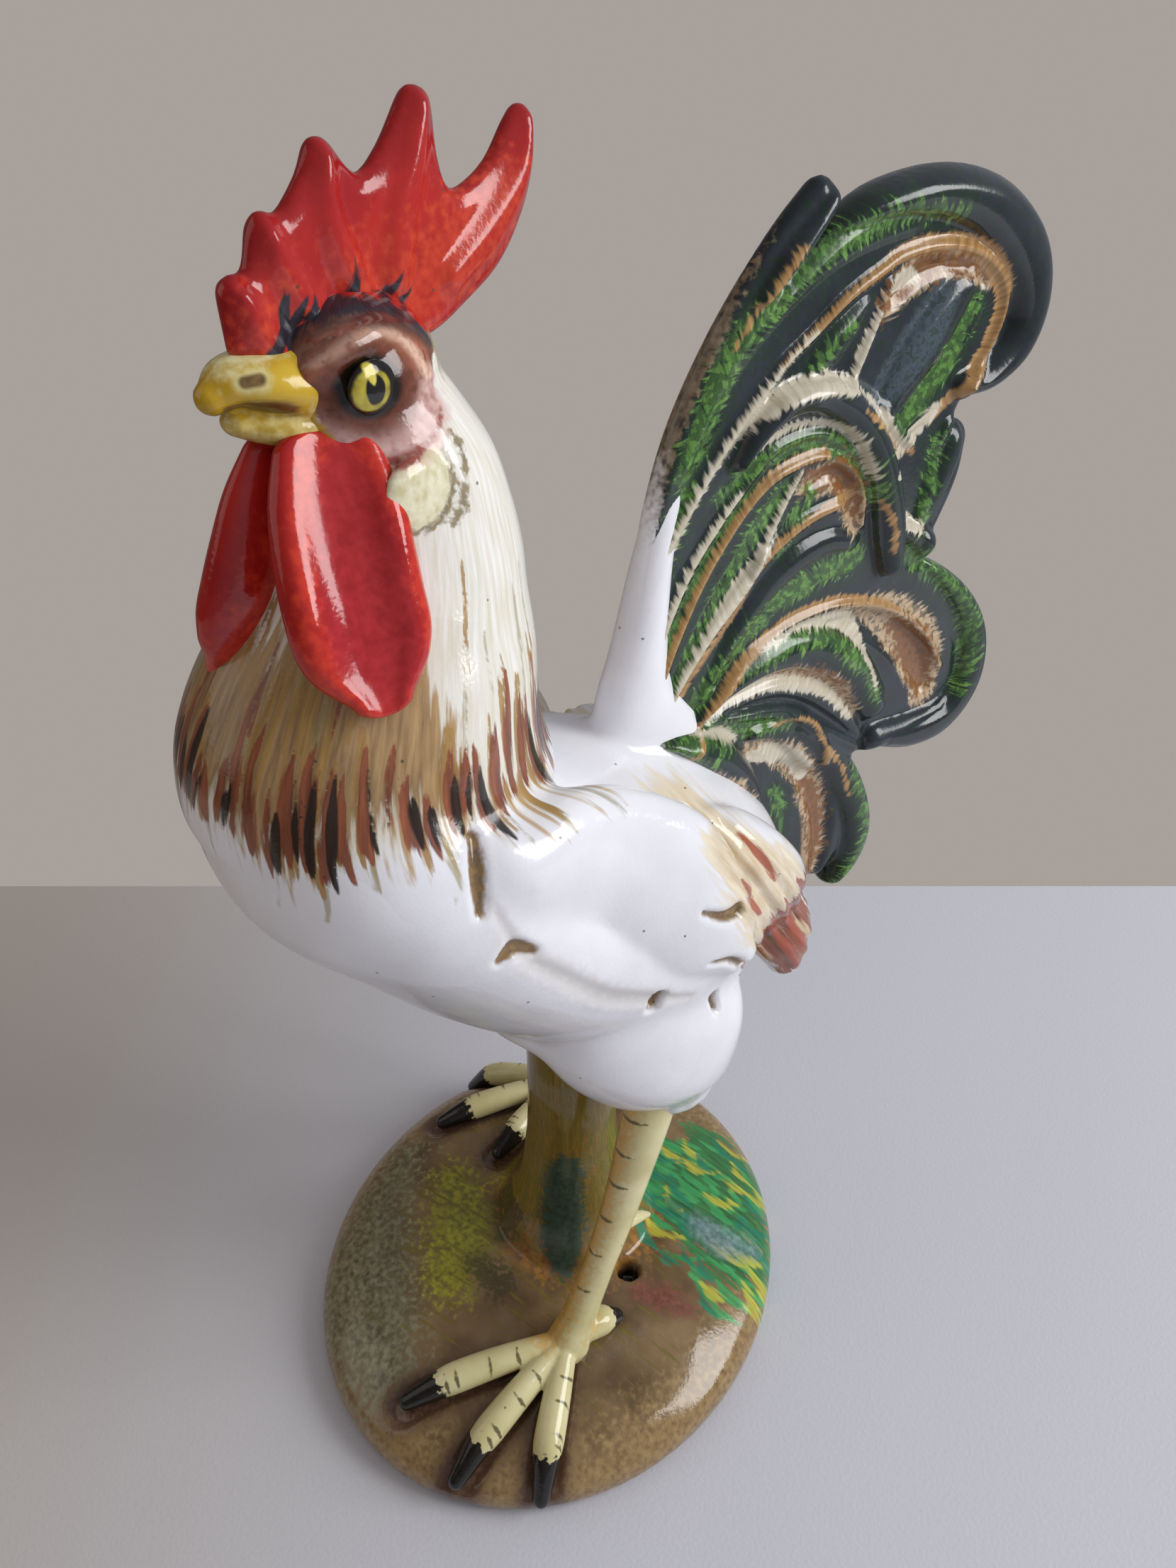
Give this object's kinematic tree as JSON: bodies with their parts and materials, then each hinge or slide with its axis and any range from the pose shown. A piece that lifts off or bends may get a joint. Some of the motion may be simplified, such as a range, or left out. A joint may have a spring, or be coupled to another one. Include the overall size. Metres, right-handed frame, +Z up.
{
  "type": "ceramic rooster figurine",
  "caption": "Free-standing glazed ceramic rooster with a notched red comb, long wattles and an upright fan tail of scrolled feathers, on a domed oval base.",
  "frame": {"origin": "centre of the base's flat underside", "axes": "+Z up, the bird faces -Y and its left side is +X"},
  "size_m": [0.1424, 0.2314, 0.3292],
  "materials": {
    "white_glaze": "gloss",
    "ivory_glaze": "gloss",
    "red_glaze": "gloss",
    "face_glaze": "gloss",
    "ochre_glaze": "gloss",
    "cream_glaze": "gloss",
    "straw_glaze": "gloss",
    "earth_glaze": "gloss",
    "moss_glaze": "gloss",
    "tail_white_glaze": "gloss",
    "green_glaze": "gloss",
    "blue_black_glaze": "gloss",
    "rust_glaze": "gloss"
  },
  "bodies": {
    "root": {"base_mound": "earth_glaze", "stump": "moss_glaze", "body_shell": "white_glaze", "neck_hackle": "ivory_glaze", "head": "face_glaze", "beak_upper": "ochre_glaze", "beak_lower": "ochre_glaze", "comb": "red_glaze", "tail_core": "tail_white_glaze", "feather_lead": "blue_black_glaze", "sickle_upper": "blue_black_glaze", "sickle_lower": "green_glaze", "lobe_low": "green_glaze", "lobe_rear": "blue_black_glaze", "wattle_left": "red_glaze", "wattle_right": "red_glaze", "ear_lobe_left": "cream_glaze", "ear_lobe_right": "cream_glaze", "eye_left": "ochre_glaze", "eye_right": "ochre_glaze", "wing_left": "white_glaze", "wing_right": "white_glaze", "saddle_left": "rust_glaze", "saddle_right": "rust_glaze", "thigh_left": "white_glaze", "thigh_right": "white_glaze", "shank_left": "straw_glaze", "shank_right": "straw_glaze", "spur_left": "straw_glaze", "spur_right": "straw_glaze", "scroll_middle_left": "blue_black_glaze", "scroll_middle_right": "blue_black_glaze", "feather_inner_left": "green_glaze", "feather_inner_right": "green_glaze", "scroll_lower_left": "green_glaze", "scroll_lower_right": "green_glaze", "covert_left": "green_glaze", "covert_right": "green_glaze", "toe_left_inner": "straw_glaze", "toe_left_middle": "straw_glaze", "toe_left_outer": "straw_glaze", "toe_left_hind": "straw_glaze", "toe_right_inner": "straw_glaze", "toe_right_middle": "straw_glaze", "toe_right_outer": "straw_glaze", "toe_right_hind": "straw_glaze"}
  },
  "joints": []
}
